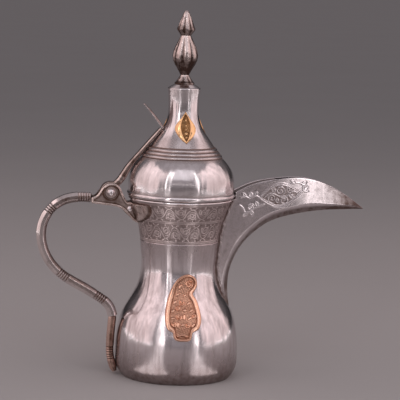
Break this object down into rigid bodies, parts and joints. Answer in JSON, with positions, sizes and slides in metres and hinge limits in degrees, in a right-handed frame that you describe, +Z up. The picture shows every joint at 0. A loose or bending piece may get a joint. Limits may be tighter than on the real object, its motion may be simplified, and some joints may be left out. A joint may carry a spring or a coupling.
{
  "type": "dallah coffee pot",
  "caption": "waisted silver coffee pot with an open crescent beak spout, hinged spired lid with a thumb plate, S-shaped strap handle and gilt plaques",
  "frame": {"origin": "centre of the flat foot, on the surface that the pot stands on", "axes": "+Z up along the pot's axis, +X towards the spout, -X towards the handle, the front medallion faces -Y"},
  "size_m": [0.2704, 0.1014, 0.3],
  "materials": {
    "polished_silver": "polished",
    "tarnished_silver": "satin",
    "gilt": "satin"
  },
  "bodies": {
    "pot": {"foot_plate": "polished_silver", "body_bulb": "polished_silver", "body_neck": "polished_silver", "mouth_ring": "polished_silver", "spout_beak": "polished_silver", "spout_bridge": "polished_silver", "neck_clasp": "tarnished_silver", "cheek_near": "tarnished_silver", "cheek_far": "tarnished_silver", "hinge_pin": "tarnished_silver", "washer_near": "tarnished_silver", "washer_far": "tarnished_silver", "clasp_rivet": "tarnished_silver", "handle_bar": "polished_silver", "handle_tail": "tarnished_silver", "medallion_front": "gilt", "medallion_back": "gilt"},
    "lid": {"lid_dome": "polished_silver", "lid_bead": "polished_silver", "lid_bezel": "polished_silver", "lid_spire": "polished_silver", "spire_cap": "polished_silver", "finial_socket": "polished_silver", "finial_bulb": "polished_silver", "finial_bud": "polished_silver", "finial_stem": "tarnished_silver", "finial_nut": "tarnished_silver", "lid_strap": "tarnished_silver", "thumb_plate": "polished_silver", "lid_drop_front": "gilt", "lid_drop_left": "gilt", "lid_drop_right": "gilt"}
  },
  "joints": [
    {"name": "lid_hinge", "type": "hinge", "parent": "pot", "child": "lid", "pos_m": [-0.058, 0, 0.1512], "axis": [0, -1, 0], "range_deg": [0, 95]}
  ]
}
